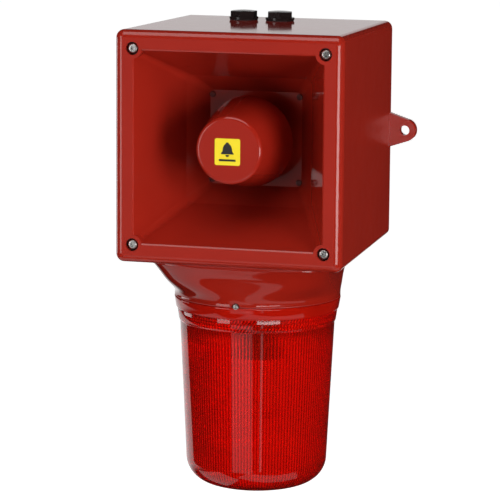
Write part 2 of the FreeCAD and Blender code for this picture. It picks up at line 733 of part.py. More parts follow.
def entry_plugs():
    """Blanking plugs: hexagonal head with a crowned top, round flange, threaded shank."""
    plugs = []
    seat = plug_seat()
    for x, turn in zip(PLUG_X, PLUG_TURN_DEG):
        flange = rod_z(x, PLUG_Y, PLUG_FLANGE_R, seat, seat + 2.2)
        head = hexagon_z(x, PLUG_Y, PLUG_FLAT_HALF, seat + 2.2, seat + 9.0, turn)
        crown = Part.makeSphere(95.0, vec(x, PLUG_Y, seat + 9.0 - 95.0))
        bevel = Part.makeCone(PLUG_FLAT_HALF + 4.6, PLUG_FLAT_HALF + 0.2, 4.4,
                              vec(x, PLUG_Y, seat + 4.9), UP)
        lower = rod_z(x, PLUG_Y, 20, seat, seat + 5.5)
        head = head.common(crown).common(lower.fuse(bevel))
        shank = rod_z(x, PLUG_Y, PLUG_THREAD_R, seat - 16, seat)
        hollow = rod_z(x, PLUG_Y, PLUG_THREAD_R - 2.5, seat - 17, seat - 2)
        plugs.append(fuse([flange, head, shank]).cut(hollow))
    return group(plugs)


def plug_seals():
    lowest = box_half(PLUG_Y - PLUG_FLANGE_R)
    return group(ring_z(x, PLUG_Y, PLUG_FLANGE_R - 0.6, PLUG_THREAD_R + 0.1, lowest, plug_seat())
                 for x in PLUG_X)


def plug_locknuts():
    top = box_half(PLUG_Y + PLUG_FLAT_HALF) - WALL - 0.3
    nuts = []
    for x in PLUG_X:
        nut = hexagon_z(x, PLUG_Y, 13.0, top - 5, top)
        nuts.append(nut.cut(rod_z(x, PLUG_Y, PLUG_THREAD_R + 0.05, top - 6, top + 1)))
    return group(nuts)


# --- adapter ----------------------------------------------------------------------------
def section_at(share):
    """Adapter outline at a share of its height: half width, front reach, squareness."""
    if share < 0.5:
        start, end, local = ADAPTER_TOP, ADAPTER_MID, share * 2
    else:
        start, end, local = ADAPTER_MID, (ADAPTER_R, ADAPTER_R, 2.0), share * 2 - 1
    wide = start[0] + (end[0] - start[0]) * local
    reach = start[1] + (end[1] - start[1]) * local
    inverse = 1 / start[2] + (1 / end[2] - 1 / start[2]) * local
    return wide, reach, 1 / inverse


def outline_wire(z, wide, reach, squareness, inset):
    """Closed outline: square-shouldered towards the front, round towards the wall."""
    nodes = []
    count = 72
    for step in range(count):
        angle = 2 * math.pi * (step + 0.5) / count
        across = abs(math.cos(angle))
        along = abs(math.sin(angle))
        if math.sin(angle) > 0:
            radius = wide - inset
        else:
            scale = (across / (wide - inset)) ** squareness
            scale += (along / (reach - inset)) ** squareness
            radius = scale ** (-1 / squareness)
        nodes.append(vec(radius * math.cos(angle), LENS_Y + radius * math.sin(angle), z))
    curve = Part.BSplineCurve()
    curve.interpolate(Points=nodes, PeriodicFlag=True)
    return Part.Wire([curve.toShape()])


def outline_prism(z0, z1, inset):
    wide, reach, squareness = ADAPTER_TOP
    face = Part.Face(outline_wire(z0, wide, reach, squareness, inset))
    return face.extrude(vec(0, 0, z1 - z0))


def adapter_loft(inset, reach_z):
    """Smooth solid from the square-shouldered top outline down to a circle, ending at reach_z."""
    wires = []
    for share in (0.0, 0.25, 0.5, 0.75, 1.0):
        if share < 0.5:
            z = ADAPTER_TOP_Z + (ADAPTER_MID_Z - ADAPTER_TOP_Z) * share * 2
        else:
            z = ADAPTER_MID_Z + (ADAPTER_ROUND_Z - ADAPTER_MID_Z) * (share * 2 - 1)
        wires.append(outline_wire(z, *section_at(share), inset))
    if reach_z < ADAPTER_ROUND_Z:
        wires.append(outline_wire(reach_z, *section_at(1.0), inset))
    return Part.makeLoft(wires, True, False)


def lock_notches(radius, reach_in, reach_out):
    tools = []
    for angle in LOCK_SCREW_ANGLES:
        outward = radial(angle)
        start = vec(0, LENS_Y, LOCK_Z) + outward * reach_in
        tools.append(Part.makeCylinder(radius, reach_out - reach_in, start, outward))
    return tools


def beacon_adapter():
    outer = adapter_loft(0.0, ADAPTER_BOTTOM_Z)
    spigot = rod_z(0, LENS_Y, SPIGOT_R, SPIGOT_END_Z, ADAPTER_BOTTOM_Z + 1)
    inner = adapter_loft(ADAPTER_T, ADAPTER_ROUND_Z)
    core = rod_z(0, LENS_Y, 62.0, ADAPTER_BOTTOM_Z - 1, ADAPTER_ROUND_Z + 1)
    chamber = rod_z(0, LENS_Y, SPIGOT_IN_R, SPIGOT_END_Z - 1, ADAPTER_BOTTOM_Z)
    body = fuse([outer, spigot])
    body = cut(body, [inner, core, chamber])
    top_bosses = [rod_z(x, y, 5.0, ADAPTER_TOP_Z - 22, ADAPTER_TOP_Z) for x, y in ADAPTER_SCREWS]
    lid = outline_prism(ADAPTER_TOP_Z - 3, ADAPTER_TOP_Z, 1.0).cut(
        outline_prism(ADAPTER_TOP_Z - 4, ADAPTER_TOP_Z + 1, 9.0))
    arms = [boss_arm(x, y) for x, y in ADAPTER_SCREWS]
    body = fuse([body, lid] + top_bosses + arms)
    tools = [rod_z(x, y, 1.9, ADAPTER_TOP_Z - 18, ADAPTER_TOP_Z + 1) for x, y in ADAPTER_SCREWS]
    tools += [rod_z(x, y, 1.6, ADAPTER_BOTTOM_Z - 1, ADAPTER_ROUND_Z + 1) for x, y in BASE_SCREWS]
    tools += lock_notches(4.2, 82.6, 95.0)
    tools += lock_notches(1.75, 74.0, 84.0)
    return cut(body, tools)


def boss_arm(x, y):
    """Shelf that joins a screw boss to the adapter's wall."""
    outward = 1 if x > 0 else -1
    x0, x1 = sorted((x, x + outward * 26))
    shelf = box(x0, x1, y - 3, y + 3, ADAPTER_TOP_Z - 8, ADAPTER_TOP_Z)
    return shelf.common(outline_prism(ADAPTER_TOP_Z - 8, ADAPTER_TOP_Z, 8.0))


def adapter_gasket():
    sheet = outline_prism(ADAPTER_TOP_Z, PAD_Z, 1.0)
    opening = outline_prism(ADAPTER_TOP_Z - 1, PAD_Z + 1, 9.0)
    return sheet.cut(opening)


def adapter_screws():
    """Screws from inside the box into the adapter."""
    screws = []
    for x, y in ADAPTER_SCREWS:
        head_z = -box_half(y) + WALL + 0.1
        head = rod_z(x, y, 3.6, head_z, head_z + 2.8)
        shank = rod_z(x, y, 1.85, ADAPTER_TOP_Z - 12, head_z)
        slot = box(x - 4, x + 4, y - 0.5, y + 0.5, head_z + 1.6, head_z + 4)
        screws.append(head.fuse(shank).cut(slot))
    return group(screws)


# --- beacon -----------------------------------------------------------------------------
def base_plate():
    plate = rod_z(0, LENS_Y, BASE_PLATE_R, BASE_PLATE_TOP_Z - BASE_PLATE_T, BASE_PLATE_TOP_Z)
    tools = [rod_z(x, y, 1.9, -170, -155) for x, y in BASE_SCREWS]
    tools += lock_notches(2.2, 73.0, 84.0)
    tools += [rod_z(side * TUBE_LEG_X, LENS_Y, 1.5, -170, -155) for side in (-1, 1)]
    return cut(plate, tools)


def base_screws():
    screws = []
    bottom = BASE_PLATE_TOP_Z - BASE_PLATE_T
    for x, y in BASE_SCREWS:
        head = rod_z(x, y, 3.0, bottom - 2.2, bottom)
        slot = box(x - 4, x + 4, y - 0.5, y + 0.5, bottom - 3, bottom - 1.2)
        screws.append(head.fuse(rod_z(x, y, 1.5, bottom, ADAPTER_ROUND_Z - 0.5)).cut(slot))
    return group(screws)


def tube_holder():
    """Dark round holder that carries the flash tube under the base plate."""
    top = BASE_PLATE_TOP_Z - BASE_PLATE_T
    body = rod_z(0, LENS_Y, HOLDER_R, HOLDER_END_Z, top)
    rim = [e for e in body.Edges if abs(e.BoundBox.ZMax - HOLDER_END_Z) < 1e-6]
    body = body.makeFillet(1.5, [e for e in rim if len(e.Vertexes) == 1])
    hollow = rod_z(0, LENS_Y, HOLDER_R - 3, HOLDER_END_Z + 6, top + 1)
    legs = [rod_z(side * TUBE_LEG_X, LENS_Y, TUBE_GLASS_R + 0.3, HOLDER_END_Z - 1, top)
            for side in (-1, 1)]
    return cut(body, [hollow] + legs)


def xenon_tube():
    """U-shaped glass flash tube."""
    top = HOLDER_END_Z + 12
    bend_r = TUBE_LEG_X
    left = vec(-bend_r, LENS_Y, TUBE_BEND_Z)
    right = vec(bend_r, LENS_Y, TUBE_BEND_Z)
    low = vec(0, LENS_Y, TUBE_BEND_Z - bend_r)
    path = Part.Wire([Part.makeLine(vec(-bend_r, LENS_Y, top), left),
                      Part.Arc(left, low, right).toShape(),
                      Part.makeLine(right, vec(bend_r, LENS_Y, top))])
    start = vec(-bend_r, LENS_Y, top)
    outer = path.makePipeShell([Part.Wire([Part.makeCircle(TUBE_GLASS_R, start, UP)])], True, False)
    inner = path.makePipeShell([Part.Wire([Part.makeCircle(TUBE_GLASS_R - 1, start, UP)])], True, False)
    return outer.cut(inner)


def tube_electrodes():
    top = BASE_PLATE_TOP_Z - BASE_PLATE_T
    parts = []
    for side in (-1, 1):
        x = side * TUBE_LEG_X
        cap = rod_z(x, LENS_Y, TUBE_GLASS_R, HOLDER_END_Z + 12, HOLDER_END_Z + 16)
        pin = rod_z(x, LENS_Y, 0.8, HOLDER_END_Z - 6, top + 6)
        parts.append(cap.fuse(pin))
    return group(parts)


def strobe_pillar_positions():
    return [(-40, LENS_Y - 30), (40, LENS_Y - 30), (-40, LENS_Y + 30), (40, LENS_Y + 30)]


def strobe_board():
    board = box(-46, 46, LENS_Y - 36, LENS_Y + 36, STROBE_BOARD_Z, STROBE_BOARD_Z + 1.6)
    return cut(board, [rod_z(x, y, 1.6, STROBE_BOARD_Z - 1, STROBE_BOARD_Z + 3)
                       for x, y in strobe_pillar_positions()])


def strobe_pillars():
    pillars = []
    for x, y in strobe_pillar_positions():
        post = rod_z(x, y, 3.0, BASE_PLATE_TOP_Z, STROBE_BOARD_Z)
        pin = rod_z(x, y, 1.5, STROBE_BOARD_Z, STROBE_BOARD_Z + 2.4)
        pillars.append(post.fuse(pin))
    return group(pillars)


def flash_capacitor():
    top = STROBE_BOARD_Z + 1.6
    can = Part.makeCylinder(11.0, 46.0, vec(-36, LENS_Y - 16, top + 11.0), vec(1, 0, 0))
    return can.makeFillet(1.5, [e for e in can.Edges if len(e.Vertexes) == 1])


def trigger_coil():
    """Flanged bobbin standing on the strobe board."""
    top = STROBE_BOARD_Z + 1.6
    x, y = 28, LENS_Y - 14
    return fuse([rod_z(x, y, 7.0, top, top + 1.5), rod_z(x, y, 5.6, top + 1.5, top + 12.5),
                 rod_z(x, y, 7.0, top + 12.5, top + 14)])


def cable_grommet():
    outer = fuse([rod_z(0, GROMMET_Y, GROMMET_R - 0.1, -119, -108),
                  rod_z(0, GROMMET_Y, GROMMET_R + 3, -109.2, -106.6)])
    return outer.cut(rod_z(0, GROMMET_Y, 2.6, -125, -100))


def strobe_leads():
    """Sleeved pair from the main board down through the grommet to the strobe board."""
    board_z = STROBE_BOARD_Z + 1.6
    return lead([(0, -22, -66), (0, -30, -78), (0, -56, -88), (0, GROMMET_Y, -100),
                 (0, GROMMET_Y, -128), (0, GROMMET_Y - 10, -138), (0, GROMMET_Y - 10, board_z)], 2.0)


def lens_gasket():
    """L-section seal: a flat ring under the adapter and a thin sleeve round its spigot."""
    ring = ring_z(0, LENS_Y, COLLAR_R - 0.5, SPIGOT_R + 0.05, LENS_TOP_Z + 0.05, ADAPTER_BOTTOM_Z)
    sleeve = ring_z(0, LENS_Y, SEAL_SLEEVE_R, SPIGOT_R + 0.05, ADAPTER_BOTTOM_Z - 7, ADAPTER_BOTTOM_Z)
    return cut(fuse([ring, sleeve]), lock_notches(4.2, 82.6, 95.0) + lock_notches(1.85, 76.0, 84.0))


def lens_lock_screws():
    """Radial screws whose heads sit in notches across the seam."""
    screws = []
    for angle in LOCK_SCREW_ANGLES:
        outward = radial(angle)
        centre = vec(0, LENS_Y, LOCK_Z)
        head = Part.makeCylinder(3.2, 2.6, centre + outward * 82.7, outward)
        outer_edge = [e for e in head.Edges if len(e.Vertexes) == 1 and
                      (e.CenterOfMass - centre).dot(outward) > 85]
        head = head.makeFillet(1.2, outer_edge)
        shank = Part.makeCylinder(1.65, 8.3, centre + outward * 74.5, outward)
        socket = Part.makeCylinder(1.3, 3.0, centre + outward * 84.0, outward)
        screws.append(head.fuse(shank).cut(socket))
    return group(screws)


def lens_half_profile(inset):
    """Points of the lens end: rounded corner running smoothly into a shallow domed bottom."""
    across = BODY_END_R - LENS_CORNER_R
    rise = BODY_END_Z - LENS_BOTTOM_Z
    crown_r = (across ** 2 + rise ** 2 - LENS_CORNER_R ** 2) / (2 * (rise - LENS_CORNER_R))
    crown = vec(0, 0, LENS_BOTTOM_Z + crown_r)
    corner = vec(across, 0, BODY_END_Z)
    lean = math.atan2(BODY_END_Z - crown.z, across)
    corner_r = LENS_CORNER_R - inset
    dome_r = crown_r - inset
    start = corner + vec(corner_r, 0, 0)
    middle = corner + slope_vector(lean / 2) * corner_r
    touch = corner + slope_vector(lean) * corner_r
    crown_mid = crown + slope_vector((lean - math.pi / 2) / 2) * dome_r
    low = vec(0, 0, LENS_BOTTOM_Z + inset)
    return start, middle, touch, crown_mid, low


def slope_vector(angle):
    return vec(math.cos(angle), 0, math.sin(angle))


def lens_solid(inset, upper):
    """Revolve the lens outline; upper lists the (radius, z) points above the plain wall's end."""
    start, middle, touch, crown_mid, low = lens_half_profile(inset)
    nodes = [vec(radius, 0, z) for radius, z in upper]
    top = nodes[0]
    edges = [Part.makeLine(vec(0, 0, top.z), top)]
    edges += [Part.makeLine(a, b) for a, b in zip(nodes, nodes[1:])]
    edges.append(Part.makeLine(nodes[-1], start))
    edges.append(Part.Arc(start, middle, touch).toShape())
    edges.append(Part.Arc(touch, crown_mid, low).toShape())
    edges.append(Part.makeLine(low, vec(0, 0, top.z)))
    solid = Part.Face(Part.Wire(edges)).revolve(vec(0, 0, 0), UP, 360)
    solid.translate(vec(0, LENS_Y, 0))
    return solid


def lens():
    outer = lens_solid(0.0, [(COLLAR_R, LENS_TOP_Z), (COLLAR_END_R, COLLAR_END_Z),
                             (BAND_R, COLLAR_END_Z - 1.5), (BAND_END_R, BAND_END_Z),
                             (BODY_R, BAND_END_Z - 1.5)])
    inner = lens_solid(LENS_T, [(SEAL_SLEEVE_R + 0.3, LENS_TOP_Z + 1), (SEAL_SLEEVE_R + 0.3, -171.0),
                                (BAND_R - LENS_T, COLLAR_END_Z - 2),
                                (BAND_END_R - LENS_T - 0.4, BAND_END_Z),
                                (BODY_R - LENS_T, BAND_END_Z - 2)])
    return cut(outer.cut(inner), lock_notches(4.2, 82.6, 95.0) + lock_notches(1.85, 76.0, 84.0))


# --- all pieces -------------------------------------------------------------------------
PIECES = {
    "rear_housing": rear_housing,
    "cover_gasket": cover_gasket,
    "screw_inserts": screw_inserts,
    "entry_plugs": entry_plugs,
    "plug_seals": plug_seals,
    "plug_locknuts": plug_locknuts,
    "main_board": main_board,
    "board_pillars": board_pillars,
    "board_screws": board_screws,
    "terminal_block": terminal_block,
    "terminal_screws": terminal_screws,
    "tone_switch_body": tone_switch_body,
    "volume_body": volume_body,
    "board_header": board_header,
    "supply_transformer": supply_transformer,
    "board_capacitors": board_capacitors,
    "heat_sink": heat_sink,
    "adapter_gasket": adapter_gasket,
    "adapter_screws": adapter_screws,
    "beacon_adapter": beacon_adapter,
    "base_plate": base_plate,
    "base_screws": base_screws,
    "tube_holder": tube_holder,
    "xenon_tube": xenon_tube,
    "tube_electrodes": tube_electrodes,
    "strobe_board": strobe_board,
    "strobe_pillars": strobe_pillars,
    "flash_capacitor": flash_capacitor,
    "trigger_coil": trigger_coil,
    "cable_grommet": cable_grommet,
    "strobe_leads": strobe_leads,
    "lens_gasket": lens_gasket,
    "lens_lock_screws": lens_lock_screws,
    "lens": lens,
    "horn_cover": horn_cover,
    "cover_screws": cover_screws,
    "screw_seals": screw_seals,
    "reflector_cup": reflector_cup,
    "throat_tube": throat_tube,
    "label_plate": label_plate,
    "flange_screws": flange_screws,
    "driver_gasket": driver_gasket,
    "driver_mounting_plate": driver_mounting_plate,
    "phase_plug": phase_plug,
    "top_plate": top_plate,
    "driver_magnet": driver_magnet,
    "pole_piece": pole_piece,
    "driver_rear_cover": driver_rear_cover,
    "driver_rear_screws": driver_rear_screws,
    "driver_terminals": driver_terminals,
    "driver_leads": driver_leads,
    "driver_plug": driver_plug,
    "diaphragm": diaphragm,
    "voice_coil": voice_coil,
    "volume_rotor": volume_rotor,
}


def main():
    os.makedirs(PARTS, exist_ok=True)
    for name, make in PIECES.items():
        shape = make()
        shape.exportStep(os.path.join(PARTS, name + ".step"))
        print(name, len(shape.Solids), round(shape.Volume / 1000, 2), shape.isValid())
    for index in range(SLIDER_COUNT):
        name = "tone_slider_%d" % (index + 1)
        tone_slider(index).exportStep(os.path.join(PARTS, name + ".step"))


main()
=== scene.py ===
"""Looks of the wall-mounted alarm horn with hanging strobe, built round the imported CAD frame."""
import json
import math

import bmesh
import bpy
from mathutils import Matrix, Vector

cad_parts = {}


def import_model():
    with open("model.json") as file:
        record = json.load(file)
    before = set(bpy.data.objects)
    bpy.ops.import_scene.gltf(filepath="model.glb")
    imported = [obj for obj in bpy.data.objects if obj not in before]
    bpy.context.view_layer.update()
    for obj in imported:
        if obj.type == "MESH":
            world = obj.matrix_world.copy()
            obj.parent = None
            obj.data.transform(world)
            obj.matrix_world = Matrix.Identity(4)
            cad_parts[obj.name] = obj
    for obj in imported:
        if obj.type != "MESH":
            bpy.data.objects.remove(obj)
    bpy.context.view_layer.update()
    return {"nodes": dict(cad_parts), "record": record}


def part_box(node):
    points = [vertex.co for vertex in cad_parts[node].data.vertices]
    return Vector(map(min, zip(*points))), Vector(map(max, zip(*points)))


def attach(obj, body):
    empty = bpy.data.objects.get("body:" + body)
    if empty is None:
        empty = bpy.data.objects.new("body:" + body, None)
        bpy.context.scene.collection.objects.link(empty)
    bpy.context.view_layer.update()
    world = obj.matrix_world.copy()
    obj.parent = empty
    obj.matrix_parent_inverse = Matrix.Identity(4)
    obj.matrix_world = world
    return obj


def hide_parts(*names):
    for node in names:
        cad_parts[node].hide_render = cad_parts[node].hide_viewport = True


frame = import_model()
nodes = frame["nodes"]

# camera
CAMERA_AT = Vector((0.72344, -2.81785, 0.34843))
CAMERA_YAW = 0.2640
CAMERA_PITCH = 0.16448
CAMERA_ROLL = 0.00813
CAMERA_LENS = 199.6

# lit panel behind the object, and the brightness of the rest of the room
PANEL_RIGHT = -4.0        # degrees from straight behind, to the right
PANEL_LEFT = 42.5         # degrees to the left at eye level; wider lower down
PANEL_TILT = -1.51        # slope of the panel's left edge
PANEL_FADE = (-0.5, -0.36)      # height of the direction looked in, from no panel to all of it
PANEL_HEIGHTS = (-0.2, 0.08)    # from full brightness to the dimmer upper part
PANEL_UPPER = 0.66
ROOM = 0.01

# satin outer sides of the glossy housing
SIDE_FACING = (0.75, 0.95)      # |X| of the surface's normal, from no satin to all of it
SIDE_PLACE = (0.1115, 0.1135)   # metres from the middle of the box
SIDE_SATIN = 0.28               # roughness added there

# lens, in metres, read from the lens node's box
LENS_LOW, LENS_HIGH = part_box("lens")
AXIS_X = (LENS_LOW.x + LENS_HIGH.x) / 2
AXIS_Y = (LENS_LOW.y + LENS_HIGH.y) / 2

# lens shape, in millimetres
LENS_WALL = 2.6
RIBS = 144
STEPS_PER_RIB = 8
RIB_WAVE = 0.5            # height of a rib on the wall
RIB_MEAN = 0.64           # about the mean of |sin|, so that the ribs keep the wall's thickness
RIB_FADE = 72             # radius inside which the ribs get lower
KNURL_ROWS = 18
KNURL_WAVE = 0.9
KNURL_SLANT = 2.5         # ribs that the knurl moves round over its height
KNURL_BULGE = 0.25
KNURL_BULGES = 4
WALL_ROWS = 9
TAIL_STEPS = 14           # rows in each of the two arcs that close the bottom
COLLAR_ROWS = 6           # rows of faces, from the rim down, that make up the plain collar

# colour sockets of a Mix node
MIX_A, MIX_B, MIX_RESULT = 6, 7, 2


# --- materials ---------------------------------------------------------------------
class Nodes:
    """Small helper that adds and links shader nodes."""

    def __init__(self, name):
        self.material = bpy.data.materials.new(name)
        self.material.use_nodes = True
        self.tree = self.material.node_tree
        self.shader = self.tree.nodes["Principled BSDF"]

    def add(self, kind, **values):
        node = self.tree.nodes.new(kind)
        for key, value in values.items():
            setattr(node, key, value)
        return node

    def link(self, source, target):
        self.tree.links.new(source, target)

    def coordinates(self):
        return self.add("ShaderNodeTexCoord").outputs["Object"]

    def noise(self, scale, detail=4.0, roughness=0.5, stretch=None):
        texture = self.add("ShaderNodeTexNoise")
        texture.inputs["Scale"].default_value = scale
        texture.inputs["Detail"].default_value = detail
        texture.inputs["Roughness"].default_value = roughness
        where = self.coordinates()
        if stretch:
            mapping = self.add("ShaderNodeMapping")
            mapping.inputs["Scale"].default_value = stretch
            self.link(where, mapping.inputs["Vector"])
            where = mapping.outputs["Vector"]
        self.link(where, texture.inputs["Vector"])
        return texture.outputs["Fac"]

    def ramp(self, source, low, high, start=0.3, end=0.7):
        ramp = self.add("ShaderNodeValToRGB")
        ramp.color_ramp.elements[0].position = start
        ramp.color_ramp.elements[1].position = end
        ramp.color_ramp.elements[0].color = low
        ramp.color_ramp.elements[1].color = high
        self.link(source, ramp.inputs["Fac"])
        return ramp.outputs["Color"]

    def spread(self, source, low, high):
        scale = self.range(source, 0.3, 0.7)
        scale.inputs["To Min"].default_value = low
        scale.inputs["To Max"].default_value = high
        return scale.outputs["Result"]

    def range(self, source, first, last):
        scale = self.add("ShaderNodeMapRange")
        scale.inputs["From Min"].default_value = first
        scale.inputs["From Max"].default_value = last
        self.link(source, scale.inputs["Value"])
        return scale

    def maths(self, operation, *values):
        """Math node whose inputs are numbers or other nodes' outputs."""
        node = self.add("ShaderNodeMath", operation=operation)
        for socket, value in zip(node.inputs, values):
            if isinstance(value, float):
                socket.default_value = value
            else:
                self.link(value, socket)
        return node.outputs["Value"]

    def bump(self, source, strength, distance):
        bump = self.add("ShaderNodeBump")
        bump.inputs["Strength"].default_value = strength
        bump.inputs["Distance"].default_value = distance
        self.link(source, bump.inputs["Height"])
        self.link(bump.outputs["Normal"], self.shader.inputs["Normal"])

    def set(self, **values):
        for key, value in values.items():
            self.shader.inputs[key.replace("_", " ")].default_value = value
        return self


def rgba(red, green, blue):
    return (red, green, blue, 1.0)


def moulded(name, low, high, rough=(0.2, 0.3), mottle=18.0, grain=900.0, bump=0.06):
    """Moulded plastic: faint mottling in colour and gloss, and a fine surface grain."""
    look = Nodes(name)
    cloud = look.noise(mottle, 3.0)
    look.link(look.ramp(cloud, low, high), look.shader.inputs["Base Color"])
    look.link(look.spread(look.noise(mottle * 4.0, 5.0), *rough), look.shader.inputs["Roughness"])
    look.bump(look.noise(grain, 2.0), bump, 0.0004)
    return look.material


def housing_red(name, low, high):
    """Red moulding, glossy but for the upright outer sides, which are satin."""
    look = Nodes(name)
    look.link(look.ramp(look.noise(18.0, 3.0), low, high), look.shader.inputs["Base Color"])
    sides = []
    for output, limits in (("Normal", SIDE_FACING), ("Object", SIDE_PLACE)):
        place = look.add("ShaderNodeTexCoord")
        parts = look.add("ShaderNodeSeparateXYZ")
        look.link(place.outputs[output], parts.inputs["Vector"])
        size = look.maths("ABSOLUTE", parts.outputs["X"])
        sides.append(look.range(size, *limits).outputs["Result"])
    satin = look.maths("MULTIPLY_ADD", look.maths("MULTIPLY", *sides), SIDE_SATIN,
                       look.spread(look.noise(72.0, 5.0), 0.06, 0.10))
    look.link(satin, look.shader.inputs["Roughness"])
    look.bump(look.noise(900.0, 2.0), 0.008, 0.0004)
    return look.material


def metal(name, low, high, rough=(0.22, 0.4), grain=(1.0, 1.0, 1.0), scale=700.0, bump=0.05):
    """Machined or cast metal with fine directional grain."""
    look = Nodes(name)
    streaks = look.noise(scale, 4.0, 0.6, grain)
    look.link(look.ramp(streaks, low, high), look.shader.inputs["Base Color"])
    look.link(look.spread(look.noise(scale * 0.2, 3.0), *rough), look.shader.inputs["Roughness"])
    look.bump(streaks, bump, 0.0002)
    look.set(Metallic=1.0)
    return look.material


def clear_red(name, ribbed=False, clear=0.86,
              dark=(0.92, 0.016, 0.005), pale=(0.97, 0.022, 0.007)):
    """Transparent red plastic; where ribbed, dark stripes along the ribs are painted shade for
    their refraction.
    """
    look = Nodes(name)
    cloud = look.ramp(look.noise(30.0, 2.0), rgba(*dark), rgba(*pale))
    if ribbed:
        place = look.add("ShaderNodeSeparateXYZ")
        look.link(look.coordinates(), place.inputs["Vector"])
        turn = look.maths("ARCTAN2", look.maths("SUBTRACT", place.outputs["Y"], AXIS_Y),
                          look.maths("SUBTRACT", place.outputs["X"], AXIS_X))
        rib_shade_stripe = look.maths("COSINE", look.maths("MULTIPLY", turn, float(RIBS)))
        rib_shade_mix = look.add("ShaderNodeMix", data_type="RGBA")
        # painted shade: dark red laid in narrow stripes along the ribs, in place of the dark lines
        # refraction gives
        rib_shade_mix.inputs[MIX_B].default_value = rgba(0.34, 0.003, 0.001)
        look.link(look.range(rib_shade_stripe, 0.1, 0.6).outputs["Result"], rib_shade_mix.inputs["Factor"])
        look.link(cloud, rib_shade_mix.inputs[MIX_A])
        cloud = rib_shade_mix.outputs[MIX_RESULT]
    look.link(cloud, look.shader.inputs["Base Color"])
    look.link(look.spread(look.noise(60.0, 3.0), 0.02, 0.05), look.shader.inputs["Roughness"])
    look.set(Transmission_Weight=clear, IOR=1.5)
    return look.material


def clear_glass(name):
    look = Nodes(name)
    look.link(look.ramp(look.noise(40.0), rgba(0.93, 0.96, 0.97), rgba(1.0, 1.0, 1.0)),
              look.shader.inputs["Base Color"])
    look.link(look.spread(look.noise(90.0), 0.0, 0.03), look.shader.inputs["Roughness"])
    look.set(Transmission_Weight=1.0, IOR=1.47)
    return look.material


RED = moulded("red_moulding", rgba(0.31, 0.014, 0.0065), rgba(0.34, 0.016, 0.0075),
              rough=(0.11, 0.16), bump=0.015)
HOUSING_RED = housing_red("red_housing", rgba(0.325, 0.016, 0.008), rgba(0.35, 0.018, 0.009))
SCREW_RED = moulded("screw_red", rgba(0.10, 0.007, 0.005), rgba(0.15, 0.009, 0.006),
                    rough=(0.15, 0.25), mottle=200.0)
ADAPTER_RED = moulded("red_moulding_gloss", rgba(0.30, 0.0115, 0.0052), rgba(0.33, 0.0135, 0.0062),
                      rough=(0.05, 0.09), bump=0.008, mottle=9.0)
BLACK = moulded("black_moulding", rgba(0.012, 0.009, 0.009), rgba(0.022, 0.017, 0.017),
                rough=(0.10, 0.2), grain=1400.0, bump=0.03)
RUBBER = moulded("seal_rubber", rgba(0.012, 0.012, 0.012), rgba(0.03, 0.03, 0.03),
                 rough=(0.6, 0.8), grain=2200.0, bump=0.15)
STEEL = metal("screw_steel", rgba(0.42, 0.41, 0.40), rgba(0.72, 0.70, 0.68))
BRASS = metal("insert_brass", rgba(0.62, 0.44, 0.18), rgba(0.86, 0.66, 0.32))
YELLOW = moulded("label_yellow", rgba(0.86, 0.66, 0.012), rgba(0.93, 0.74, 0.02),
                 rough=(0.3, 0.42), grain=2600.0, bump=0.04)
BASE_WHITE = moulded("base_white", rgba(0.62, 0.62, 0.60), rgba(0.72, 0.72, 0.70),
                     rough=(0.35, 0.5))
SEAL_RED = moulded("seal_red", rgba(0.30, 0.012, 0.008), rgba(0.38, 0.016, 0.010),
                   rough=(0.35, 0.5))
INK = moulded("label_ink", rgba(0.008, 0.008, 0.008), rgba(0.02, 0.02, 0.02), rough=(0.35, 0.5))
BOARD = moulded("board_green", rgba(0.008, 0.10, 0.035), rgba(0.015, 0.16, 0.05),
                mottle=160.0, rough=(0.3, 0.45), grain=3000.0, bump=0.1)
LEAD = moulded("lead_red", rgba(0.30, 0.02, 0.015), rgba(0.40, 0.03, 0.02), rough=(0.35, 0.5))
BLUE = moulded("switch_blue", rgba(0.01, 0.045, 0.25), rgba(0.015, 0.06, 0.33), rough=(0.3, 0.45))
WHITE = moulded("switch_white", rgba(0.70, 0.69, 0.65), rgba(0.80, 0.79, 0.76), rough=(0.3, 0.45))
IRON = metal("transformer_iron", rgba(0.14, 0.14, 0.15), rgba(0.28, 0.28, 0.29), rough=(0.4, 0.6),
             grain=(0.2, 0.2, 6.0))
FERRITE = moulded("magnet_ferrite", rgba(0.04, 0.04, 0.043), rgba(0.07, 0.07, 0.075),
                  mottle=90.0, rough=(0.5, 0.7), bump=0.2)
ALUMINIUM = metal("cast_aluminium", rgba(0.55, 0.56, 0.58), rgba(0.72, 0.73, 0.75),
                  rough=(0.35, 0.5), scale=900.0, bump=0.15)
SLEEVE = moulded("capacitor_sleeve", rgba(0.014, 0.02, 0.06), rgba(0.02, 0.03, 0.09),
                 rough=(0.25, 0.4))
FILM = moulded("diaphragm_film", rgba(0.36, 0.20, 0.06), rgba(0.46, 0.27, 0.09), rough=(0.3, 0.5))
COPPER = metal("coil_copper", rgba(0.60, 0.26, 0.12), rgba(0.80, 0.40, 0.20),
               grain=(0.3, 20.0, 0.3))
GLASS = clear_glass("tube_glass")
LENS_RED = clear_red("red_lens")
LENS_RIBS = clear_red("red_lens_ribs", ribbed=True)
LENS_COLLAR = clear_red("red_lens_collar", clear=0.2,
                        dark=(0.44, 0.007, 0.002), pale=(0.54, 0.010, 0.003))

SLOT_LOOKS = {
    "red_moulding": RED, "black_moulding": BLACK, "seal_rubber": RUBBER, "screw_steel": STEEL,
    "insert_brass": BRASS, "label_yellow": YELLOW, "board_green": BOARD, "lead_red": LEAD,
    "switch_blue": BLUE, "switch_white": WHITE, "transformer_iron": IRON, "magnet_ferrite": FERRITE,
    "cast_aluminium": ALUMINIUM, "capacitor_sleeve": SLEEVE, "diaphragm_film": FILM,
    "coil_copper": COPPER, "tube_glass": GLASS, "red_lens": LENS_RED, "base_white": BASE_WHITE,
    "seal_red": SEAL_RED, "screw_red": SCREW_RED,
}


def paint(piece, look):
    piece.data.materials.clear()
    piece.data.materials.append(look)


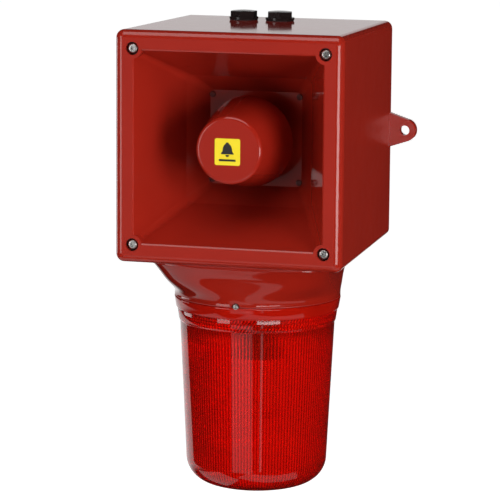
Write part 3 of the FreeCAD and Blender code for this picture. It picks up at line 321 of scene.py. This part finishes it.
for part in frame["record"]["subparts"]:
    paint(nodes[part["node"]], SLOT_LOOKS[part["material_slot"]])
paint(nodes["beacon_adapter"], ADAPTER_RED)
for name in ("rear_housing", "horn_cover"):
    paint(nodes[name], HOUSING_RED)


# --- new pieces ----------------------------------------------------------------------
def finish_piece(mesh, name, look, body, smooth=True):
    """Turn a bmesh into a named object that rides on a body."""
    data = bpy.data.meshes.new(name)
    bmesh.ops.recalc_face_normals(mesh, faces=mesh.faces)
    mesh.to_mesh(data)
    mesh.free()
    piece = bpy.data.objects.new(name, data)
    bpy.context.scene.collection.objects.link(piece)
    paint(piece, look)
    for face in data.polygons:
        face.use_smooth = smooth
    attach(piece, body)
    return piece


def grid_faces(mesh, rings):
    """Join neighbouring rings of vertices with quads; each ring is closed round the axis."""
    count = len(rings[0])
    for lower, upper in zip(rings, rings[1:]):
        for i in range(count):
            j = (i + 1) % count
            mesh.faces.new((lower[i], lower[j], upper[j], upper[i]))


def lens_profiles():
    """Outer and inner (radius, z) profiles of the lens in millimetres, top to bottom."""
    across, corner_z, corner_r, bottom = 45.3, -330.7, 27.4, -365.2
    rise = corner_z - bottom
    dome_r = (across ** 2 + rise ** 2 - corner_r ** 2) / (2 * (rise - corner_r))
    dome_z = bottom + dome_r
    lean = math.atan2(corner_z - dome_z, across)

    def tail(inset):
        steps = TAIL_STEPS
        points = []
        for i in range(steps + 1):
            angle = lean * i / steps
            reach = corner_r - inset
            points.append((across + reach * math.cos(angle), corner_z + reach * math.sin(angle)))
        for i in range(1, steps + 1):
            angle = lean + (-math.pi / 2 - lean) * i / (steps + 0.4)
            reach = dome_r - inset
            points.append((reach * math.cos(angle), dome_z + reach * math.sin(angle)))
        return points

    outer = [(84.5, -162.3), (85.3, -162.8), (85.3, -164.0), (84.1, -173.2), (83.6, -173.9),
             (82.3, -174.2), (82.0, -174.9), (82.3, -175.6), (80.9, -186.2), (80.6, -187.0),
             (79.9, -187.4), (79.65, -188.2), (79.6, -188.9), (79.5, -191.0), (77.6, -230.0),
             (75.0, -283.0)]
    inner = [(81.4, -162.3), (81.3, -171.5), (79.4, -174.6)]
    return outer + tail(0.0), inner, tail(LENS_WALL)


def ribbed_lens():
    """Clear red cup: smooth outside, fine vertical ribs inside, knurled band under the collar."""
    count = RIBS * STEPS_PER_RIB
    outer, inner_top, inner_tail = lens_profiles()
    mesh = bmesh.new()

    def ring(radius, z, wave=0.0, shift=0.0):
        made = []
        for i in range(count):
            scallop = abs(math.sin(math.pi * (i / STEPS_PER_RIB + shift)))
            reach = radius + wave * (RIB_MEAN - scallop)
            angle = 2 * math.pi * i / count
            made.append(mesh.verts.new((AXIS_X + reach * math.cos(angle) / 1000,
                                        AXIS_Y + reach * math.sin(angle) / 1000, z / 1000)))
        return made

    rings = [ring(radius, z) for radius, z in outer]
    bottom = mesh.verts.new((AXIS_X, AXIS_Y, LENS_LOW.z))
    inside = [ring(radius, z) for radius, z in inner_top]
    for i in range(KNURL_ROWS):
        share = i / (KNURL_ROWS - 1)
        bulge = KNURL_BULGE * math.cos(2 * math.pi * KNURL_BULGES * share)
        inside.append(ring(79.1 - 1.9 * share + bulge, -175.4 - 13.2 * share,
                           KNURL_WAVE, KNURL_SLANT * share))
    for i in range(WALL_ROWS):
        share = i / (WALL_ROWS - 1)
        inside.append(ring(76.6 - 6.1 * share, -189.4 - 137.0 * share, RIB_WAVE))
    inside += [ring(radius, z, RIB_WAVE * radius / RIB_FADE) for radius, z in inner_tail[1:]]
    inner_bottom = mesh.verts.new((AXIS_X, AXIS_Y, LENS_LOW.z + LENS_WALL / 1000))
    grid_faces(mesh, rings)
    for i in range(count):
        mesh.faces.new((rings[-1][i], rings[-1][(i + 1) % count], bottom))
    grid_faces(mesh, [rings[0], inside[0]])
    smooth_count = len(mesh.faces)
    grid_faces(mesh, inside)
    for i in range(count):
        mesh.faces.new((inside[-1][(i + 1) % count], inside[-1][i], inner_bottom))
    piece = finish_piece(mesh, "lens_ribbed", LENS_RED, "lens")
    piece.data.materials.append(LENS_RIBS)
    piece.data.materials.append(LENS_COLLAR)
    for number, face in enumerate(piece.data.polygons):
        if number >= smooth_count:
            face.material_index = 1
        elif number < COLLAR_ROWS * count:
            face.material_index = 2
    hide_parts("lens")


def label_marks():
    """Plain black bell and bar on the yellow plate: a generic alarm sign without letters."""
    low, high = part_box("label_plate")
    gap, thick = 0.00004, 0.00016
    face_y = low.y - gap
    middle_x = (low.x + high.x) / 2
    middle_z = (low.z + high.z) / 2

    def plate(outline, name):
        mesh = bmesh.new()
        front = [mesh.verts.new((middle_x + x / 1000, face_y - thick, middle_z + z / 1000))
                 for x, z in outline]
        rear = [mesh.verts.new((v.co.x, face_y, v.co.z)) for v in front]
        mesh.faces.new(front)
        mesh.faces.new(list(reversed(rear)))
        grid_faces(mesh, [front, rear])
        finish_piece(mesh, name, INK, "front_cover", smooth=False)

    half = [(6.4, -2.2), (6.4, -1.2), (4.9, 0.6), (4.5, 4.0), (3.4, 6.6), (1.6, 8.2), (1.1, 9.4)]
    plate(half + [(-x, z) for x, z in reversed(half)], "label_bell")
    radius, centre_z, steps = 1.9, -2.9, 8
    angles = [math.pi * (1 + i / steps) for i in range(steps + 1)]
    plate([(radius * math.cos(a), centre_z + radius * math.sin(a)) for a in angles],
          "label_clapper")
    plate([(-8.4, -9.2), (8.4, -9.2), (8.4, -7.2), (-8.4, -7.2)], "label_bar")


ribbed_lens()
label_marks()


# --- stage, light and camera ------------------------------------------------------------
def floor():
    mesh = bmesh.new()
    half_x, near, far, z = 9.0, -1.2, 16.0, -0.95
    corners = [(-half_x, near), (half_x, near), (half_x, far), (-half_x, far)]
    mesh.faces.new([mesh.verts.new((x, y, z)) for x, y in corners])
    data = bpy.data.meshes.new("floor")
    mesh.to_mesh(data)
    mesh.free()
    plane = bpy.data.objects.new("floor", data)
    bpy.context.scene.collection.objects.link(plane)
    look = Nodes("pale_floor")
    look.link(look.ramp(look.noise(3.0), rgba(0.86, 0.86, 0.86), rgba(0.9, 0.9, 0.9)),
              look.shader.inputs["Base Color"])
    look.set(Roughness=0.8, Specular_IOR_Level=0.1)
    rays = look.add("ShaderNodeLightPath")
    look.link(rays.outputs["Is Camera Ray"], look.shader.inputs["Emission Strength"])
    look.set(Emission_Color=(1.0, 1.0, 1.0, 1.0))
    paint(plane, look.material)
    plane.visible_glossy = False
    plane.visible_transmission = False
    plane.visible_diffuse = False


def soft_light(name, azimuth, elevation, distance, width, height, power, mirrored, shading):
    """Area light aimed at the object; azimuth runs from the front to the right of the picture,
    in degrees. A light may be left out of reflections (mirrored) or of diffuse light (shading)."""
    aim = Vector((0.0, -0.15, -0.05))
    around, above = math.radians(azimuth), math.radians(elevation)
    away = Vector((math.cos(above) * math.sin(around), -math.cos(above) * math.cos(around),
                   math.sin(above)))
    data = bpy.data.lights.new(name, "AREA")
    data.shape = "RECTANGLE"
    data.size = width
    data.size_y = height
    data.energy = power
    light = bpy.data.objects.new(name, data)
    light.location = aim + away * distance
    light.rotation_euler = (-away).to_track_quat("-Z", "Y").to_euler()
    light.visible_glossy = mirrored
    light.visible_diffuse = shading
    bpy.context.scene.collection.objects.link(light)


def world():
    """Pale room for the eye; for light and reflections, a panel behind and a dim rest."""
    shell = bpy.data.worlds.new("studio")
    bpy.context.scene.world = shell
    shell.use_nodes = True
    tree = shell.node_tree
    shown = tree.nodes["Background"]
    shown.inputs["Color"].default_value = rgba(1.0, 1.0, 1.0)
    where = tree.nodes.new("ShaderNodeTexCoord")

    def within(normal, edge=0.02):
        """1 on the inner side of a plane through the object, 0 on the other."""
        side = tree.nodes.new("ShaderNodeVectorMath")
        side.operation = "DOT_PRODUCT"
        side.inputs[1].default_value = normal
        tree.links.new(where.outputs["Generated"], side.inputs[0])
        step = tree.nodes.new("ShaderNodeMapRange")
        step.interpolation_type = "SMOOTHSTEP"
        step.inputs["From Min"].default_value = -edge
        step.inputs["From Max"].default_value = edge
        tree.links.new(side.outputs["Value"], step.inputs["Value"])
        return step.outputs["Result"]

    def times(first, second):
        product = tree.nodes.new("ShaderNodeMath")
        product.operation = "MULTIPLY"
        for socket, value in zip(product.inputs, (first, second)):
            if isinstance(value, float):
                socket.default_value = value
            else:
                tree.links.new(value, socket)
        return product.outputs["Value"]

    right = math.radians(PANEL_RIGHT)
    left = math.radians(PANEL_LEFT)
    panel = times(within((-math.cos(right), math.sin(right), 0.0)),
                  within((math.cos(left), math.sin(left), PANEL_TILT)))
    height = tree.nodes.new("ShaderNodeSeparateXYZ")
    tree.links.new(where.outputs["Generated"], height.inputs["Vector"])

    def by_height(limits, low, high):
        step = tree.nodes.new("ShaderNodeMapRange")
        sockets = ("From Min", "From Max", "To Min", "To Max")
        for socket, value in zip(sockets, (*limits, low, high)):
            step.inputs[socket].default_value = value
        tree.links.new(height.outputs["Z"], step.inputs["Value"])
        return step.outputs["Result"]

    panel = times(panel, by_height(PANEL_FADE, 0.0, 1.0))
    brightness = by_height(PANEL_HEIGHTS, 1.0 - ROOM, PANEL_UPPER - ROOM)
    level = tree.nodes.new("ShaderNodeMath")
    level.operation = "ADD"
    level.inputs[1].default_value = ROOM
    tree.links.new(times(panel, brightness), level.inputs[0])
    lit = tree.nodes.new("ShaderNodeBackground")
    lit.inputs["Color"].default_value = rgba(1.0, 1.0, 1.0)
    tree.links.new(level.outputs["Value"], lit.inputs["Strength"])
    rays = tree.nodes.new("ShaderNodeLightPath")
    mix = tree.nodes.new("ShaderNodeMixShader")
    tree.links.new(rays.outputs["Is Camera Ray"], mix.inputs["Fac"])
    tree.links.new(lit.outputs["Background"], mix.inputs[1])
    tree.links.new(shown.outputs["Background"], mix.inputs[2])
    tree.links.new(mix.outputs["Shader"], tree.nodes["World Output"].inputs["Surface"])


def camera():
    data = bpy.data.cameras.new("camera")
    data.lens = CAMERA_LENS
    data.sensor_width = 36.0
    data.clip_end = 100.0
    eye = bpy.data.objects.new("camera", data)
    forward = Vector((-math.sin(CAMERA_YAW) * math.cos(CAMERA_PITCH),
                      math.cos(CAMERA_YAW) * math.cos(CAMERA_PITCH), -math.sin(CAMERA_PITCH)))
    right = Vector((math.cos(CAMERA_YAW), math.sin(CAMERA_YAW), 0.0))
    up = right.cross(forward)
    rolled_right = right * math.cos(CAMERA_ROLL) + up * math.sin(CAMERA_ROLL)
    rolled_up = up * math.cos(CAMERA_ROLL) - right * math.sin(CAMERA_ROLL)
    turn = Matrix((rolled_right, rolled_up, -forward)).transposed()
    eye.matrix_world = Matrix.Translation(CAMERA_AT) @ turn.to_4x4()
    bpy.context.scene.collection.objects.link(eye)
    bpy.context.scene.camera = eye


LIGHTS = (
    # name, azimuth, elevation, distance, width, height, power, mirrored, shading
    ("key_right", 55, 0, 2.3, 0.9, 1.3, 36.0, False, True),
    ("edge_right", 78, 0, 2.3, 0.9, 1.3, 9.0, False, True),
    ("key_left", -34, 1.3, 2.3, 0.8, 1.2, 9.0, True, True),
    ("edge_left", -66, 1.3, 2.3, 1.5, 1.2, 13.0, False, True),
    ("back_fill", 180, 0, 2.3, 1.2, 1.2, 6.0, False, True),
    ("top_front", 0, 60, 2.3, 1.8, 2.0, 28.0, True, True),
    ("under_front", 0, -45, 2.0, 1.2, 0.9, 10.0, False, True),
    ("strip_box", 31, -6, 2.3, 1.35, 0.48, 12.5, True, False),
    ("back_left", -103, -6, 2.3, 0.8, 0.48, 3.6, True, False),
    ("face_haze", -15, -6, 2.3, 0.65, 0.56, 0.24, True, False),
    ("strip_lens", 22, -21, 2.3, 0.12, 0.7, 0.26, True, False),
    ("low_front", -8, -26.5, 1.95, 1.05, 0.6, 1.15, True, True),
    ("low_left", -80, -56, 2.0, 1.8, 1.2, 4.6, True, True),
    ("low_right", 44, -58, 2.0, 2.9, 1.1, 5.6, True, True),
)

floor()
world()
for light in LIGHTS:
    soft_light(*light)
camera()
bpy.context.scene.view_settings.view_transform = "Standard"
